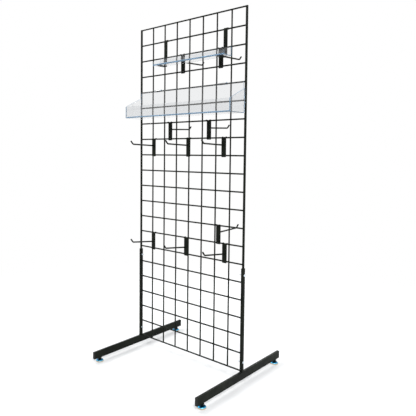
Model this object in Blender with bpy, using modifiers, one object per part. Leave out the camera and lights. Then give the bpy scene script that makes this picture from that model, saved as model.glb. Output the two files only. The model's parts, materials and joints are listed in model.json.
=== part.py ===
"""Free-standing two-sided wire grid display stand: a welded grid panel held between two T-legs,
with lift-off hooks on both sides, a clear bin and a clear ledge.

Metres, +Z up. The origin is on the floor under the middle of the panel, and -Y is the front.
"""

import math

import bmesh
import bpy
from mathutils import Matrix

INCH = 0.0254
GAP = 0.0003

# Wire grid: 3 inch squares, eight across and twenty high.
CELL = 3 * INCH
COLUMNS = 8
ROWS = 20
WIRE_R = 0.003
WIRE_SIDES = 8
EDGE_ROD_R = 0.005
EDGE_ROD_SIDES = 16
WELD_DEPTH = 0.0003
ROW_WIRE_Y = -0.0016
COLUMN_WIRE_Y = ROW_WIRE_Y + 2 * WIRE_R * math.cos(math.pi / WIRE_SIDES) - WELD_DEPTH
PANEL_HALF_W = COLUMNS * CELL / 2
PANEL_H = ROWS * CELL

# T-legs: a half inch wide tube on the floor and a half inch channel standing on it.
BASE_W = 0.5 * INCH
BASE_H = 0.033
TUBE_WALL = 0.0015
TUBE_CORNER_R = 0.002
CAP_FLANGE = 0.004
BASE_LENGTH = 24 * INCH + 2 * CAP_FLANGE
CAP_EDGE_R = 0.0028
CAP_PLUG = 0.014
CHANNEL_SIDE = 0.5 * INCH
CHANNEL_WALL = 0.001
CHANNEL_CORNER_R = 0.0012
CHANNEL_H = 0.4447
CLAMP_BOLT_HEIGHTS = (0.038, 0.412)
BOLT_R = 0.002
BOLT_HOLE_R = 0.0023
BOLT_HEAD_R = 0.0050
BOLT_HEAD_H = 0.0032
BOLT_LENGTH = 0.024
BOLT_NUT_R = 0.0040
BOLT_NUT_H = 0.0032
EDGE_STEPS = 3

# Levelling feet: a domed glide that turns on a threaded stem, screwed into a boss.
FOOT_INSET = 0.0368
GLIDE_R = 0.018
GLIDE_H = 0.012
GLIDE_COLLAR_R = 0.0065
STEM_R = 0.004
STEM_HOLE_R = STEM_R + GAP
STEM_FOOT_Z = 0.0045
STEM_TOP_Z = 0.047
BOSS_R = 0.008
BOSS_H = 0.0057
TURNED_STEPS = 20

# Heights that follow from the feet, the tube and the grid.
BASE_BOTTOM_Z = GLIDE_H + GAP + BOSS_H + GAP
BASE_TOP_Z = BASE_BOTTOM_Z + BASE_H
PANEL_BOTTOM_Z = BASE_TOP_Z + 0.0037

# Hooks: a stamped plate that hangs on one wire, leans on the next, and carries a six inch prong.
PLATE_W = 0.024
PLATE_T = 0.0015
PLATE_BELOW_WIRE = 0.007
PLATE_CORNER_R = 0.004
PLATE_NOTCH_W = 0.0155
LIP_WRAP = math.radians(30)
LIP_STEPS = 7
LIP_CLEAR = GAP
PRONG_R = 0.003
PRONG_STRAIGHT = 0.134
PRONG_BEND_R = 0.012
PRONG_BEND = math.radians(44)
PRONG_BEND_STEPS = 4
PRONG_TIP = 0.016
# Two kinds of prong: how far below the wire it starts, and how steeply it rises.
LEVEL_PRONG = (0.0315, math.radians(2))
RISING_PRONG = (0.0435, math.radians(6))
FRONT_HOOKS = (
    ("upper_left", 7, -0.2131, LEVEL_PRONG),
    ("upper_middle", 7, 0.0042, LEVEL_PRONG),
    ("upper_right", 7, 0.2015, LEVEL_PRONG),
    ("lower_left", 13, -0.2131, RISING_PRONG),
    ("lower_middle", 13, -0.004, RISING_PRONG),
    ("lower_right", 13, 0.212, RISING_PRONG),
)
BACK_HOOKS = (
    ("top_left", 2, -CELL / 2, LEVEL_PRONG),
    ("top_right", 2, 0.175, LEVEL_PRONG),
    ("middle_left", 6, -1.5 * CELL, LEVEL_PRONG),
    ("middle_right", 6, 1.5 * CELL, LEVEL_PRONG),
    ("low_right", 12, 0.172, LEVEL_PRONG),
)

# Clear bin: one bent sheet with its front, floor, back and hanging lips, and two glued ends.
# Its drop and reach, and the ledge's, are measured from the centre of the wire that carries it.
SHEET_T = 0.003
SHEET_BEND_R = 0.004
SHEET_LIP_R = 0.0038 + SHEET_T / 2
BIN_ROW = 4
BIN_HALF_W = 0.3045
BIN_REACH = 0.1064
BIN_DROP = 0.1292
BIN_FRONT_H = 0.055
BIN_REAR_H = 0.102
BIN_LIP_W = 0.040
BIN_LIP_X = 2.5 * CELL

# Clear ledge: a small bent sheet carried by two steel brackets.
LEDGE_ROW = 1
LEDGE_LEFT_X = -0.170
LEDGE_RIGHT_X = 0.236
LEDGE_REACH = 0.0604
LEDGE_DROP = 0.1178
LEDGE_LIP_H = 0.018
LEDGE_BACK_H = 0.040
BRACKET_W = 0.020
BRACKET_T = 0.002
BRACKET_REACH = 0.0544
BRACKET_BEND_R = 0.005
BRACKET_X = {"left": -0.138, "right": 0.204}


def row_z(row):
    """Height of a row wire's centre; row 0 is the top wire."""
    return PANEL_BOTTOM_Z + (ROWS - row) * CELL


def column_x(column):
    return -PANEL_HALF_W + column * CELL


def foot_ys():
    return (-BASE_LENGTH / 2 + FOOT_INSET, BASE_LENGTH / 2 - FOOT_INSET)


def new_collection(name):
    collection = bpy.data.collections.new(name)
    bpy.context.scene.collection.children.link(collection)
    return collection


def finish_material(name, colour, roughness, metallic=0.0, alpha=1.0):
    material = bpy.data.materials.new(name)
    material.use_nodes = True
    shader = material.node_tree.nodes["Principled BSDF"]
    shader.inputs["Base Color"].default_value = (*colour, 1.0)
    shader.inputs["Roughness"].default_value = roughness
    shader.inputs["Metallic"].default_value = metallic
    shader.inputs["Alpha"].default_value = alpha
    return material


for old in list(bpy.data.objects):
    bpy.data.objects.remove(old)

STAND = new_collection("grid_display_stand")
CUTTERS = new_collection("cutters")
BLACK_COAT = finish_material("black_powder_coat", (0.012, 0.012, 0.013), 0.42)
BLACK_PLASTIC = finish_material("black_cap_plastic", (0.010, 0.010, 0.010), 0.55)
CHROME = finish_material("bright_chrome", (0.80, 0.82, 0.84), 0.12, metallic=1.0)
ZINC = finish_material("zinc_plate", (0.66, 0.69, 0.72), 0.28, metallic=1.0)
ACRYLIC = finish_material("clear_acrylic", (0.86, 0.92, 0.95), 0.06, alpha=0.3)


def wire_axis(name, row, x=0.0, turn=0.0):
    """Empty on a row wire's centre: the piece that hangs there is modelled, and tilts, about it."""
    axis = bpy.data.objects.new(name, None)
    axis.location = (x, ROW_WIRE_Y, row_z(row))
    axis.rotation_euler = (0, 0, turn)
    STAND.objects.link(axis)
    return axis


def keep(obj, name, material):
    """Puts a finished object in the stand under its own name and finish."""
    for collection in list(obj.users_collection):
        collection.objects.unlink(obj)
    STAND.objects.link(obj)
    obj.name = name
    obj.data.materials.clear()
    obj.data.materials.append(material)
    return obj


def as_cutter(obj):
    for collection in list(obj.users_collection):
        collection.objects.unlink(obj)
    CUTTERS.objects.link(obj)
    obj.hide_render = True
    obj.display_type = "WIRE"
    return obj


def smooth(obj, angle=40):
    obj.data.shade_smooth()
    obj.data.set_sharp_from_angle(angle=math.radians(angle))


def boolean(obj, other, operation="DIFFERENCE"):
    """Cuts or joins another mesh, which is measured from the same place as the object."""
    other.parent = obj.parent
    modifier = obj.modifiers.new(operation.lower(), "BOOLEAN")
    modifier.operation = operation
    modifier.object = as_cutter(other)
    modifier.solver = "EXACT"


def round_edges(obj, radius, wanted):
    """Rounds the edges that wanted(first point, second point) picks out."""
    weight = obj.data.attributes.new("bevel_weight_edge", "FLOAT", "EDGE")
    for edge in obj.data.edges:
        first, second = (obj.data.vertices[index].co for index in edge.vertices)
        weight.data[edge.index].value = float(wanted(first, second))
    modifier = obj.modifiers.new("rounded_edges", "BEVEL")
    modifier.limit_method = "WEIGHT"
    modifier.width = radius
    modifier.segments = EDGE_STEPS


def mesh_object(name, bm):
    mesh = bpy.data.meshes.new(name)
    bm.to_mesh(mesh)
    bm.free()
    obj = bpy.data.objects.new(name, mesh)
    STAND.objects.link(obj)
    return obj


def boxes(name, *low_high):
    """One mesh of boxes, each given by its lowest and highest corner."""
    bm = bmesh.new()
    for low, high in low_high:
        size = [b - a for a, b in zip(low, high)]
        middle = [(a + b) / 2 for a, b in zip(low, high)]
        bmesh.ops.create_cube(bm, size=1, matrix=Matrix.Translation(middle) @ Matrix.Diagonal((*size, 1)))
    return mesh_object(name, bm)


def cylinders(name, axis, radius, sides, *spans):
    """One mesh of cylinders along X, Y or Z; a span is the middle point and the length.
    A flat of each cylinder, not a corner, faces along Y."""
    turn = {"X": Matrix.Rotation(math.pi / 2, 4, "Y"), "Y": Matrix.Rotation(math.pi / 2, 4, "X")}
    flat = Matrix.Rotation(math.pi / sides, 4, "Z")
    bm = bmesh.new()
    for middle, length in spans:
        place = Matrix.Translation(middle) @ turn.get(axis, Matrix.Identity(4)) @ flat
        bmesh.ops.create_cone(
            bm, cap_ends=True, segments=sides, radius1=radius, radius2=radius, depth=length, matrix=place
        )
    return mesh_object(name, bm)


def turned(name, profile, steps=TURNED_STEPS):
    """A profile of (radius, height) points, listed down the outer side, turned about Z."""
    bm = bmesh.new()
    points = [bm.verts.new((radius, 0, height)) for radius, height in profile]
    for first, second in zip(points, points[1:]):
        bm.edges.new((first, second))
    obj = mesh_object(name, bm)
    screw = obj.modifiers.new("turn", "SCREW")
    screw.steps = steps
    screw.render_steps = steps
    screw.use_merge_vertices = True
    screw.merge_threshold = 0.00001
    smooth(obj, 35)
    return obj


def bent_sheet(name, axis, line, low_x, high_x, thickness, corner_r=0.0):
    """A sheet bent along a line of (y, z) points in the middle of its thickness, measured from its axis.
    A corner radius rounds the two corners where the line ends."""
    bm = bmesh.new()
    points = [bm.verts.new((low_x, y, z)) for y, z in line]
    edges = [bm.edges.new(pair) for pair in zip(points, points[1:])]
    swept = bmesh.ops.extrude_edge_only(bm, edges=edges)["geom"]
    moved = [item for item in swept if isinstance(item, bmesh.types.BMVert)]
    bmesh.ops.translate(bm, verts=moved, vec=(high_x - low_x, 0, 0))
    if corner_r:
        corners = [vertex for vertex in bm.verts if math.dist(vertex.co.yz, line[-1]) < GAP]
        bmesh.ops.bevel(
            bm, geom=corners, offset=corner_r, segments=EDGE_STEPS, profile=0.5, affect="VERTICES"
        )
    obj = mesh_object(name, bm)
    obj.parent = axis
    solidify = obj.modifiers.new("thickness", "SOLIDIFY")
    solidify.thickness = thickness
    solidify.offset = 0
    solidify.use_even_offset = True
    return obj


def arc(centre, radius, start, end, steps):
    """(y, z) points on an arc, with angles measured from +Y towards +Z."""
    turns = [start + (end - start) * i / steps for i in range(steps + 1)]
    return [(centre[0] + radius * math.cos(a), centre[1] + radius * math.sin(a)) for a in turns]


def hanging_lip(radius):
    """The part of a bent line that wraps a wire from its far side, over the top, to its near side."""
    return arc((0, 0), radius, -LIP_WRAP, math.pi, LIP_STEPS)


def bend(corner, radius, first, second, steps=3):
    """A rounded right-angled corner of a bent line.
    first and second are the unit (y, z) directions of travel into and out of it."""
    centre = [c - radius * a + radius * b for c, a, b in zip(corner, first, second)]
    points = []
    for i in range(steps + 1):
        turn = math.pi / 2 * i / steps
        along, across = radius * math.sin(turn), radius * math.cos(turn)
        points.append(tuple(c + along * a - across * b for c, a, b in zip(centre, first, second)))
    return points


def grid_panel():
    """Row wires welded across column wires and into the two edge rods, as one welded panel."""
    panel_middle_z = PANEL_BOTTOM_Z + PANEL_H / 2
    row_length = 2 * PANEL_HALF_W - 0.002
    rows = [((0, ROW_WIRE_Y, row_z(row)), row_length) for row in range(ROWS + 1)]
    columns = [((column_x(c), COLUMN_WIRE_Y, panel_middle_z), PANEL_H) for c in range(1, COLUMNS)]
    rods = [((side * PANEL_HALF_W, 0, panel_middle_z), PANEL_H + 2 * WIRE_R) for side in (-1, 1)]
    panel = cylinders("grid_panel", "X", WIRE_R, WIRE_SIDES, *rows)
    boolean(panel, cylinders("column_wires", "Z", WIRE_R, WIRE_SIDES, *columns), "UNION")
    boolean(panel, cylinders("edge_rods", "Z", EDGE_ROD_R, EDGE_ROD_SIDES, *rods), "UNION")
    holes = [
        ((side * PANEL_HALF_W, 0, PANEL_BOTTOM_Z + height), 4 * EDGE_ROD_R)
        for side in (-1, 1)
        for height in CLAMP_BOLT_HEIGHTS
    ]
    boolean(panel, cylinders("rod_bolt_holes", "X", BOLT_HOLE_R, WIRE_SIDES, *holes))
    keep(panel, "grid_panel", BLACK_COAT)


def leg_base(name, x):
    """Rectangular floor tube, open at both ends, with a hole in its floor for each foot's stem."""
    half_w, half_l = BASE_W / 2, BASE_LENGTH / 2 - CAP_FLANGE - GAP
    tube = boxes(name, ((x - half_w, -half_l, BASE_BOTTOM_Z), (x + half_w, half_l, BASE_TOP_Z)))
    round_edges(tube, TUBE_CORNER_R, lambda first, second: abs(first.y - second.y) > half_l)
    inside_w = half_w - TUBE_WALL
    bore = boxes(
        name + "_bore",
        (
            (x - inside_w, -BASE_LENGTH, BASE_BOTTOM_Z + TUBE_WALL),
            (x + inside_w, BASE_LENGTH, BASE_TOP_Z - TUBE_WALL),
        ),
    )
    boolean(tube, bore)
    holes = [((x, y, BASE_BOTTOM_Z), 6 * TUBE_WALL) for y in foot_ys()]
    boolean(tube, cylinders(name + "_stem_holes", "Z", STEM_HOLE_R, EDGE_ROD_SIDES, *holes))
    keep(tube, name, BLACK_COAT)


def end_cap(name, x, end):
    """Plastic cap: a flange with a rounded face over the tube's end, and a plug inside it."""
    half_w = BASE_W / 2
    outer_y = end * BASE_LENGTH / 2
    flange_y = outer_y - end * CAP_FLANGE
    overlap_y = (outer_y + flange_y) / 2
    plug_y = flange_y - end * CAP_PLUG
    inset = TUBE_WALL + GAP
    flange_low = (x - half_w, min(outer_y, flange_y), BASE_BOTTOM_Z)
    flange_high = (x + half_w, max(outer_y, flange_y), BASE_TOP_Z)
    flange = boxes(name, (flange_low, flange_high))
    round_edges(flange, CAP_EDGE_R, lambda first, second: end * (first.y + second.y) > 2 * end * overlap_y)
    plug = boxes(
        name + "_plug",
        (
            (x - half_w + inset, min(overlap_y, plug_y), BASE_BOTTOM_Z + inset),
            (x + half_w - inset, max(overlap_y, plug_y), BASE_TOP_Z - inset),
        ),
    )
    boolean(flange, plug, "UNION")
    keep(flange, name, BLACK_PLASTIC)


def leg_upright(name, side):
    """Channel that wraps the panel's edge rod, open towards the panel, bored for the two clamp bolts."""
    outer_x = side * (PANEL_HALF_W + CHANNEL_SIDE / 2)
    open_x = side * (PANEL_HALF_W - CHANNEL_SIDE / 2)
    bottom, top = BASE_TOP_Z + GAP, BASE_TOP_Z + GAP + CHANNEL_H
    half = CHANNEL_SIDE / 2
    channel = boxes(name, ((min(outer_x, open_x), -half, bottom), (max(outer_x, open_x), half, top)))
    round_edges(
        channel,
        CHANNEL_CORNER_R,
        lambda first, second: abs(first.z - second.z) > half and abs(first.x) > PANEL_HALF_W,
    )
    web_x = outer_x - side * CHANNEL_WALL
    past_x = open_x - side * CHANNEL_SIDE
    hollow = half - CHANNEL_WALL
    slot_low = (min(web_x, past_x), -hollow, bottom - CHANNEL_SIDE)
    slot_high = (max(web_x, past_x), hollow, top + CHANNEL_SIDE)
    boolean(channel, boxes(name + "_slot", (slot_low, slot_high)))
    holes = [((outer_x, 0, PANEL_BOTTOM_Z + height), 4 * CHANNEL_WALL) for height in CLAMP_BOLT_HEIGHTS]
    boolean(channel, cylinders(name + "_bolt_holes", "X", BOLT_HOLE_R, WIRE_SIDES, *holes))
    keep(channel, name, BLACK_COAT)


def clamp_bolt(name, side, height):
    """Domed bolt head outside the channel, with its shank running in through the edge rod."""
    head = GAP
    profile = [
        (0, head + BOLT_HEAD_H),
        (BOLT_HEAD_R * 0.62, head + BOLT_HEAD_H * 0.86),
        (BOLT_HEAD_R, head + BOLT_HEAD_H * 0.38),
        (BOLT_HEAD_R, head),
        (BOLT_R, head),
        (BOLT_R, -BOLT_LENGTH),
        (0, -BOLT_LENGTH),
    ]
    bolt = turned(name, profile, EDGE_ROD_SIDES)
    bolt.rotation_euler = (0, side * math.pi / 2, 0)
    bolt.location = (side * (PANEL_HALF_W + CHANNEL_SIDE / 2), 0, PANEL_BOTTOM_Z + height)
    keep(bolt, name, ZINC)


def clamp_nut(name, side, height):
    """Hexagon nut on the bolt, drawn up against the edge rod in the mouth of the channel."""
    middle_x = side * (PANEL_HALF_W - EDGE_ROD_R - GAP - BOLT_NUT_H / 2)
    middle = (middle_x, 0, PANEL_BOTTOM_Z + height)
    nut = cylinders(name, "X", BOLT_NUT_R, 6, (middle, BOLT_NUT_H))
    boolean(nut, cylinders(name + "_thread", "X", BOLT_HOLE_R, WIRE_SIDES, (middle, 3 * BOLT_NUT_H)))
    keep(nut, name, ZINC)


def foot(name, x, y):
    """Domed glide, threaded stem and the boss under the tube, all on one upright axis."""
    glide = turned(
        name + "_glide",
        [
            (STEM_HOLE_R, GLIDE_H),
            (GLIDE_COLLAR_R, GLIDE_H),
            (GLIDE_COLLAR_R, GLIDE_H * 0.80),
            (GLIDE_R * 0.72, GLIDE_H * 0.62),
            (GLIDE_R * 0.95, GLIDE_H * 0.36),
            (GLIDE_R, GLIDE_H * 0.12),
            (GLIDE_R * 0.94, 0),
            (0, 0),
            (0, STEM_FOOT_Z - GAP),
            (STEM_HOLE_R, STEM_FOOT_Z - GAP),
            (STEM_HOLE_R, GLIDE_H),
        ],
    )
    stem = turned(
        name + "_stem",
        [(0, STEM_TOP_Z), (STEM_R, STEM_TOP_Z), (STEM_R, STEM_FOOT_Z), (0, STEM_FOOT_Z)],
        EDGE_ROD_SIDES,
    )
    boss_low = GLIDE_H + GAP
    boss = turned(
        name + "_boss",
        [
            (STEM_HOLE_R, boss_low + BOSS_H),
            (BOSS_R, boss_low + BOSS_H),
            (BOSS_R, boss_low),
            (STEM_HOLE_R, boss_low),
            (STEM_HOLE_R, boss_low + BOSS_H),
        ],
        EDGE_ROD_SIDES,
    )
    for piece, finish in ((glide, CHROME), (stem, ZINC), (boss, BLACK_COAT)):
        piece.location = (x, y, 0)
        keep(piece, piece.name, finish)


def hook_plate(name, axis):
    """Stamped plate whose notched top lip wraps one row wire and whose foot leans on the next."""
    radius = WIRE_R + LIP_CLEAR + PLATE_T / 2
    line = hanging_lip(radius)
    line.append((-radius, -CELL - PLATE_BELOW_WIRE))
    plate = bent_sheet(name, axis, line, -PLATE_W / 2, PLATE_W / 2, PLATE_T, PLATE_CORNER_R)
    notch_low = (-PLATE_NOTCH_W / 2, PLATE_T - radius, -4 * radius)
    notch_high = (PLATE_NOTCH_W / 2, 4 * radius, 4 * radius)
    boolean(plate, boxes(name + "_notch", (notch_low, notch_high)))
    keep(plate, name, BLACK_COAT)


def hook_prong(name, axis, drop, slope):
    """Round wire that rises gently from the plate and turns up at its end."""
    reach = WIRE_R + LIP_CLEAR + PLATE_T + GAP
    z = -drop
    line = [(reach, z)]
    reach += PRONG_STRAIGHT * math.cos(slope)
    z += PRONG_STRAIGHT * math.sin(slope)
    centre = (reach - PRONG_BEND_R * math.sin(slope), z + PRONG_BEND_R * math.cos(slope))
    start = slope - math.pi / 2
    line += arc(centre, PRONG_BEND_R, start, start + PRONG_BEND, PRONG_BEND_STEPS)
    tip_slope = slope + PRONG_BEND
    reach, z = line[-1]
    line.append((reach + PRONG_TIP * math.cos(tip_slope), z + PRONG_TIP * math.sin(tip_slope)))
    curve = bpy.data.curves.new(name, "CURVE")
    curve.dimensions = "3D"
    curve.bevel_depth = PRONG_R
    curve.bevel_resolution = 2
    curve.use_fill_caps = True
    spline = curve.splines.new("POLY")
    spline.points.add(len(line) - 1)
    for point, (forward, height) in zip(spline.points, line):
        point.co = (0, -forward, height, 1)
    prong = bpy.data.objects.new(name, curve)
    prong.parent = axis
    keep(prong, name, BLACK_COAT)


def hooks(prefix, placed, turn):
    """Hooks at their wires; those on the back are turned half round."""
    for place, row, x, prong in placed:
        axis = wire_axis(f"{prefix}_hook_axis_{place}", row, x, turn)
        hook_plate(f"{prefix}_hook_plate_{place}", axis)
        hook_prong(f"{prefix}_hook_prong_{place}", axis, *prong)


def bin_sheet(axis):
    """Front, floor and back of the clear bin, bent from one sheet that hangs by two lips."""
    half_t = SHEET_T / 2
    back_y = -SHEET_LIP_R
    floor_z = half_t - BIN_DROP
    front_y = half_t - BIN_REACH
    line = hanging_lip(SHEET_LIP_R)
    line += bend((back_y, floor_z), SHEET_BEND_R, (0, -1), (-1, 0))
    line += bend((front_y, floor_z), SHEET_BEND_R, (-1, 0), (0, 1))
    line.append((front_y, BIN_FRONT_H - BIN_DROP))
    half_w = BIN_HALF_W - SHEET_T - GAP
    sheet = bent_sheet("bin_sheet", axis, line, -half_w, half_w, SHEET_T)
    lip_edges = [-BIN_HALF_W]
    for x in (-BIN_LIP_X, BIN_LIP_X):
        lip_edges += [x - BIN_LIP_W / 2, x + BIN_LIP_W / 2]
    lip_edges.append(BIN_HALF_W)
    past = 4 * SHEET_LIP_R
    trim_z = SHEET_LIP_R / 3
    between_lips = list(zip(lip_edges[0::2], lip_edges[1::2]))
    lip_waste = [((low, back_y + half_t, -past), (high, past, past)) for low, high in between_lips]
    boolean(sheet, boxes("bin_lip_waste", *lip_waste))
    shoulder_waste = [((low, -past, trim_z), (high, past, past)) for low, high in between_lips]
    boolean(sheet, boxes("bin_shoulder_waste", *shoulder_waste))
    keep(sheet, "bin_sheet", ACRYLIC)


def bin_end(name, axis, side):
    """Clear end of the bin: a flat outline that is low in front and high at the back."""
    back_y = SHEET_T / 2 - SHEET_LIP_R
    outline = [
        (-BIN_REACH, -BIN_DROP),
        (back_y, -BIN_DROP),
        (back_y, BIN_REAR_H - BIN_DROP),
        (-BIN_REACH, BIN_FRONT_H - BIN_DROP),
    ]
    curve = bpy.data.curves.new(name, "CURVE")
    curve.dimensions = "2D"
    curve.fill_mode = "BOTH"
    curve.extrude = SHEET_T / 2
    spline = curve.splines.new("POLY")
    spline.use_cyclic_u = True
    spline.points.add(len(outline) - 1)
    for point, (y, z) in zip(spline.points, outline):
        point.co = (y, z, 0, 1)
    end = bpy.data.objects.new(name, curve)
    end.parent = axis
    end.rotation_euler = (math.pi / 2, 0, math.pi / 2)
    end.location = (side * (BIN_HALF_W - SHEET_T / 2), 0, 0)
    keep(end, name, ACRYLIC)


def ledge_shelf(axis):
    """Small clear shelf with a low front lip, standing on its brackets' arms."""
    half_t = SHEET_T / 2
    back_y = -(WIRE_R + LIP_CLEAR + BRACKET_T) - GAP - half_t
    floor_z = half_t - LEDGE_DROP
    front_y = half_t - LEDGE_REACH
    line = [(back_y, LEDGE_BACK_H - LEDGE_DROP)]
    line += bend((back_y, floor_z), SHEET_BEND_R, (0, -1), (-1, 0))
    line += bend((front_y, floor_z), SHEET_BEND_R, (-1, 0), (0, 1))
    line.append((front_y, LEDGE_LIP_H - LEDGE_DROP))
    shelf = bent_sheet("ledge_shelf", axis, line, LEDGE_LEFT_X, LEDGE_RIGHT_X, SHEET_T)
    keep(shelf, "ledge_shelf", ACRYLIC)


def ledge_bracket(name, axis, x):
    """Bent steel strip: a lip over the row wire, a back, and an arm under the clear shelf."""
    radius = WIRE_R + LIP_CLEAR + BRACKET_T / 2
    arm_z = -LEDGE_DROP - GAP - BRACKET_T / 2
    line = hanging_lip(radius)
    line += bend((-radius, arm_z), BRACKET_BEND_R, (0, -1), (-1, 0))
    line.append((-BRACKET_REACH, arm_z))
    bracket = bent_sheet(name, axis, line, x - BRACKET_W / 2, x + BRACKET_W / 2, BRACKET_T)
    keep(bracket, name, BLACK_COAT)


def leg(word, side):
    x = side * PANEL_HALF_W
    leg_base(f"{word}_leg_base", x)
    leg_upright(f"{word}_leg_upright", side)
    for place, end in (("front", -1), ("back", 1)):
        end_cap(f"{word}_{place}_end_cap", x, end)
    for place, height in zip(("lower", "upper"), CLAMP_BOLT_HEIGHTS):
        clamp_bolt(f"{word}_{place}_clamp_bolt", side, height)
        clamp_nut(f"{word}_{place}_clamp_nut", side, height)
    for place, y in zip(("front", "back"), foot_ys()):
        foot(f"{word}_{place}_foot", x, y)


def clear_bin():
    axis = wire_axis("bin_axis", BIN_ROW)
    bin_sheet(axis)
    bin_end("bin_end_left", axis, -1)
    bin_end("bin_end_right", axis, 1)


def clear_ledge():
    axis = wire_axis("ledge_axis", LEDGE_ROW)
    ledge_shelf(axis)
    for side, x in BRACKET_X.items():
        ledge_bracket(f"ledge_bracket_{side}", axis, x)


grid_panel()
leg("left", -1)
leg("right", 1)
hooks("front", FRONT_HOOKS, 0.0)
hooks("back", BACK_HOOKS, math.pi)
clear_bin()
clear_ledge()
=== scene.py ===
"""Looks of a free-standing wire grid display stand: black coated steel, bright feet and clear acrylic.

Metres, +Z up, with the front towards -Y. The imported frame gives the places.
"""

import json
import math

import bmesh
import bpy
from mathutils import Matrix, Vector


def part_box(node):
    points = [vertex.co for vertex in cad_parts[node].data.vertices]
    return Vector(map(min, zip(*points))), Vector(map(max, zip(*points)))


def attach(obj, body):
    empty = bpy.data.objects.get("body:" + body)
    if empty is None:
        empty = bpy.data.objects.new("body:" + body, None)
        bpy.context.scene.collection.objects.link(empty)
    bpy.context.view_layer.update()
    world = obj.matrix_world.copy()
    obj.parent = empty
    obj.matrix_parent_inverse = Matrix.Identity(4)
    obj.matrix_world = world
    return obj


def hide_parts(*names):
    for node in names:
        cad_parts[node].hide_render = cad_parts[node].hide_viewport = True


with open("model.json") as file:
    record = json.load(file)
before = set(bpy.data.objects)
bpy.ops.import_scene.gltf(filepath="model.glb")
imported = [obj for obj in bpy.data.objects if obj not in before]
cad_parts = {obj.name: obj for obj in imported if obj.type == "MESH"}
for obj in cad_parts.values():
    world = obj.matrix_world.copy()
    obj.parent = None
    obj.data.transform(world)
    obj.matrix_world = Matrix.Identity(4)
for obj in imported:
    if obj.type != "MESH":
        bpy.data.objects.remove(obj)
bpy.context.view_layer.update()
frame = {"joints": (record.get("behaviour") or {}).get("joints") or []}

JOINTS = {joint["name"]: joint for joint in frame["joints"]}
SIDES = {"left": -1, "right": 1}
ENDS = {"front": -1, "back": 1}
FULL_TURN = 2 * math.pi
QUARTER_TURN = math.pi / 2
GAP = 0.0003
MERGE_DISTANCE = 0.00001
HOLE_CUTTER = 0.01
# Least part of a unit normal along an axis for a face to count as square to it
SQUARE_ON = 0.9

# Wire grid, with the wires measured over their coat
CELL = 0.0762
COLUMNS = 8
ROWS = 20
WIRE_R = 0.0033
SIDE_ROD_R = 0.0052
WIRE_END_R = 0.0008
SIDE_ROD_END_R = 0.0016
HALF_WIDTH = COLUMNS * CELL / 2
BIN_ROW = 4
ROW_WIRE_Y, BIN_WIRE_Z = JOINTS["bin_tilt"]["pos_m"][1:]
BOTTOM_WIRE_Z = BIN_WIRE_Z - (ROWS - BIN_ROW) * CELL
TOP_WIRE_Z = BOTTOM_WIRE_Z + ROWS * CELL
WELD_SQUEEZE = 0.0007
COLUMN_WIRE_Y = ROW_WIRE_Y + 2 * WIRE_R - WELD_SQUEEZE
WELD_NUGGET = (0.0075, 0.0083, 0.0075)
NUGGET_BACK = (0.8, 0.6, 1.1)

# Legs
TUBE_WALL = 0.0015
TUBE_CORNER_R = 0.002
CAP_FLANGE = 0.004
CAP_EDGE_R = 0.0028
CAP_PLUG = 0.014
CAP_PLUG_EDGE = 0.0008
CHANNEL_WALL = 0.001
CHANNEL_EDGE = 0.0002
CHANNEL_FOLD_R = CHANNEL_WALL * 0.6
WELD_BEAD_R = 0.0018
WELD_CORNER_R = 0.0015
WELD_RIPPLE = 0.003
WELD_RIPPLE_H = 0.0007
BOLT_HEAD_R = 0.005
BOLT_HEAD_H = 0.0032
BOLT_HEAD_ROUND = BOLT_HEAD_H * 0.8
BOLT_R = 0.002
BOLT_LENGTH = 0.024
BOLT_SOCKET_R = 0.0019
BOLT_SOCKET_DEPTH = 0.0016
BOLT_CHAMFER = 0.0005
NUT_R = 0.004
NUT_H = 0.0032
NUT_CHAMFER = 0.0005
NUT_END_SCALE = 0.86

# Levelling feet
GLIDE_R = 0.018
GLIDE_H = 0.012
GLIDE_EDGE = 0.0005
BASE_RIM_H = 0.0048
SHELL_STEP = 0.0004
COLLAR_R = 0.0066
COLLAR_EDGE = 0.0004
COLLAR_FOOT_R = 0.0074
COLLAR_H = 0.0020
COLLAR_FOOT_H = 0.0026
STEM_R = 0.004
STEM_FOOT_Z = 0.0045
STEM_TOP_Z = 0.047
THREAD_PITCH = 0.00125
THREAD_DEPTH = 0.0005
THREAD_INSET = 0.001
# Where a thread's flat crest starts and ends, as parts of one turn
THREAD_CREST = (0.4, 0.6)
BOSS_R = 0.008
BOSS_H = 0.0057
BOSS_EDGE = 0.0006
# How far the weld flares out, at each depth below the tube
BOSS_WELD = ((0.0000, 0.0022), (0.0006, 0.0010), (0.0016, 0.0000))

# Hooks, with the prongs measured over their coat
PLATE_W = 0.024
PLATE_T = 0.0015
PLATE_EDGE = 0.00025
PLATE_BELOW_WIRE = 0.007
PLATE_CORNER_R = 0.004
NOTCH_W = 0.0155
LIP_WRAP = math.radians(30)
PRONG_R = 0.0034
PRONG_STRAIGHT = 0.134
PRONG_BEND_R = 0.012
PRONG_BEND = math.radians(44)
PRONG_TIP = 0.016
PRONG_TIP_R = PRONG_R * 0.6
PRONG_COLLAR = 1.4
PRONG_COLLAR_H = 0.0016
# How far below the wire a prong starts, and how steeply it rises
LEVEL_PRONG = (0.0315, math.radians(2))
RISING_PRONG = (0.0435, math.radians(6))

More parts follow.
